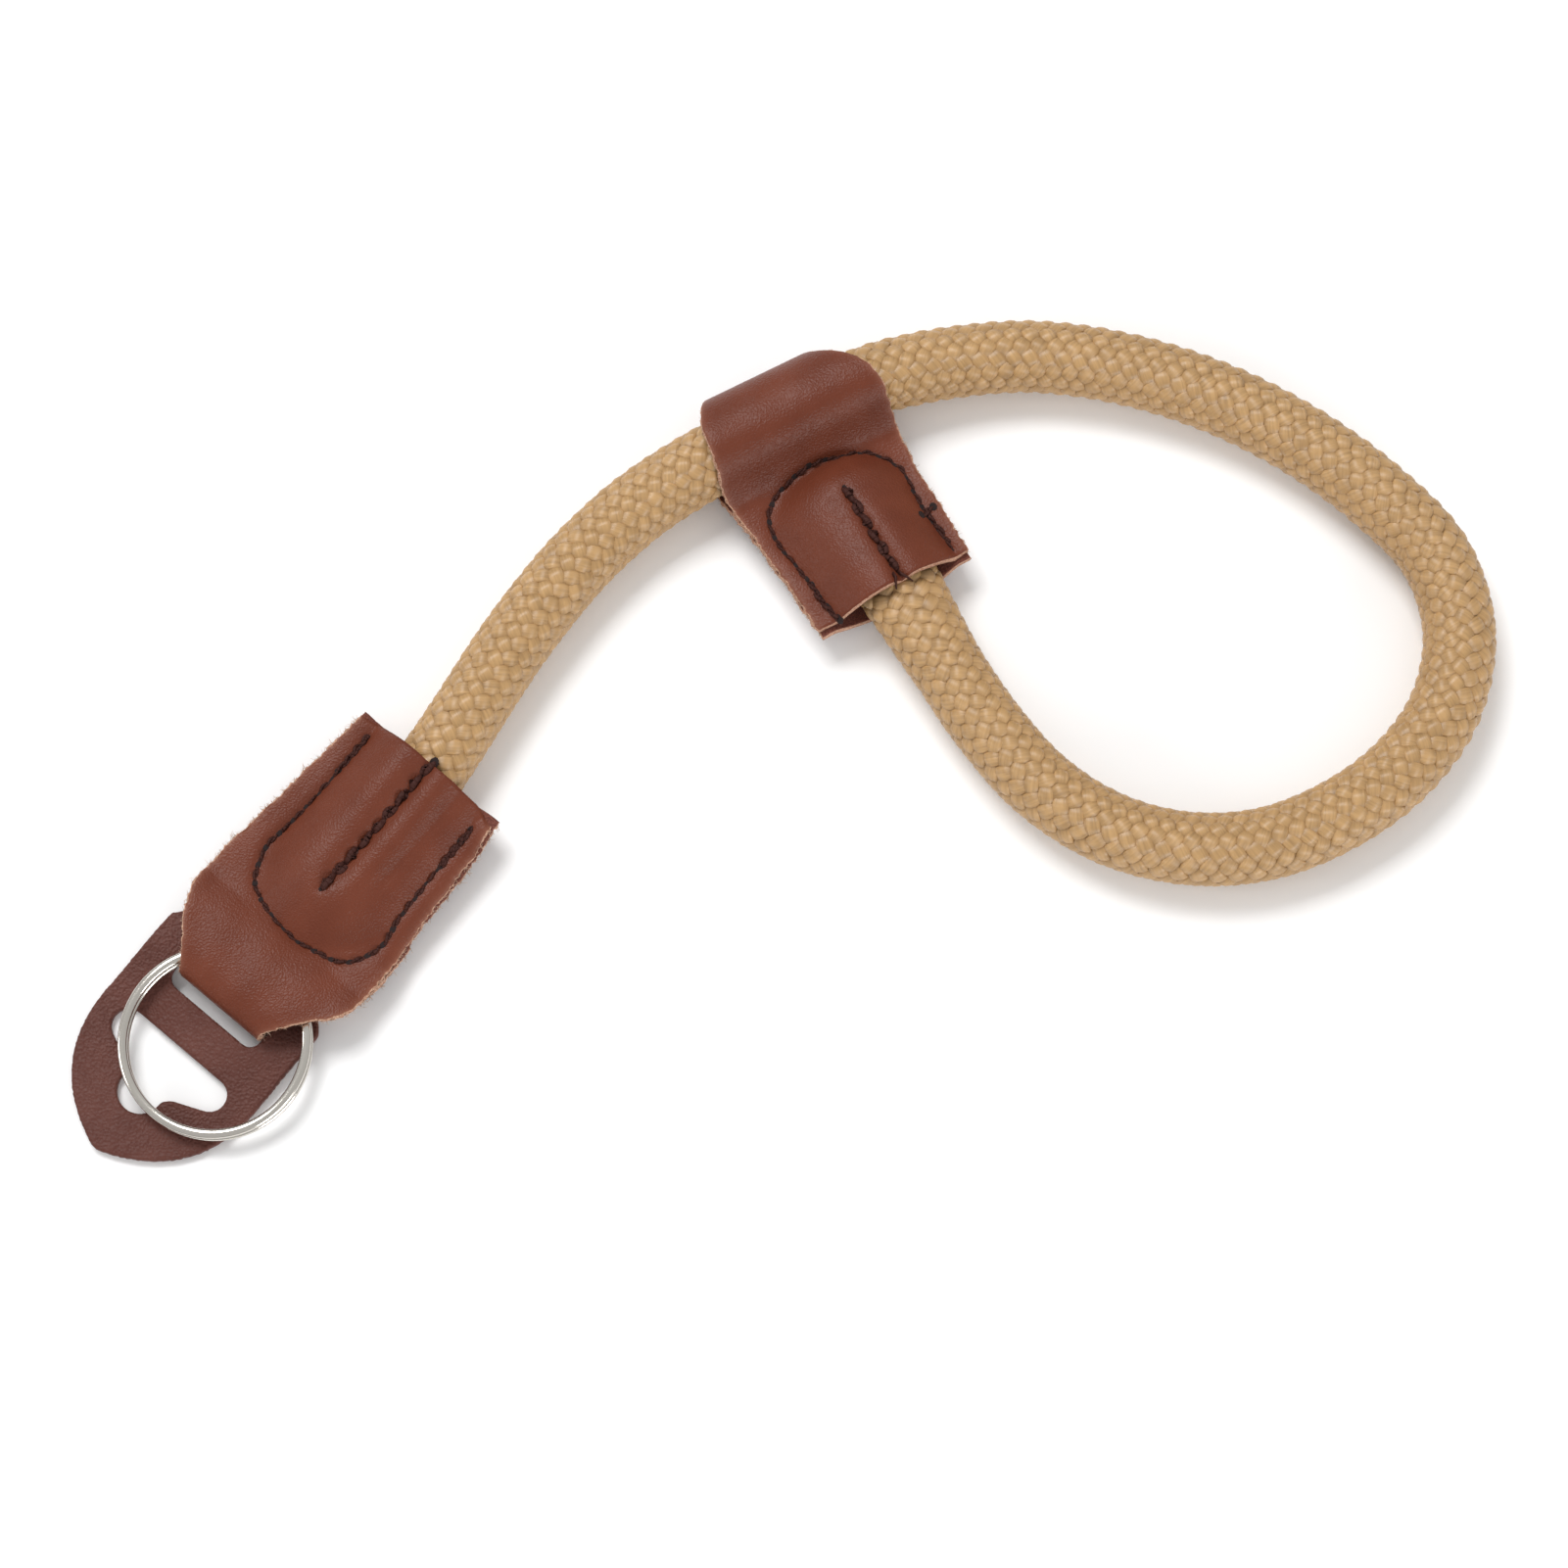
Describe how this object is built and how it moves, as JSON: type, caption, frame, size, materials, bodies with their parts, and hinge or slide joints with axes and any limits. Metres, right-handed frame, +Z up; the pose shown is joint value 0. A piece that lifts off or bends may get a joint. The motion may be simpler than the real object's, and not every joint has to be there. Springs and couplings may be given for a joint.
{
  "type": "camera wrist strap",
  "caption": "Braided rope wrist strap for a camera: sewn leather ends, a leather slider that closes the wrist loop, and a split ring with a leather guard.",
  "frame": {"origin": "middle of the strap's footprint, on the surface that it lies on", "axes": "+X along the strap from the camera guard to the far side of the wrist loop, +Z up from the surface"},
  "size_m": [0.1897, 0.1152, 0.0131],
  "materials": {
    "rope_braid": "braided khaki tan yarn with a soft gloss",
    "strip_leather": "smooth reddish brown leather, semi-gloss, raw cut edges",
    "guard_leather": "fine pebbled plum brown leather, satin",
    "ring_metal": "bright nickel plate"
  },
  "bodies": {
    "root": {"rope": "rope_braid", "ring_tab": "strip_leather", "slider": "strip_leather", "camera_guard": "guard_leather", "split_ring": "ring_metal"}
  },
  "joints": []
}
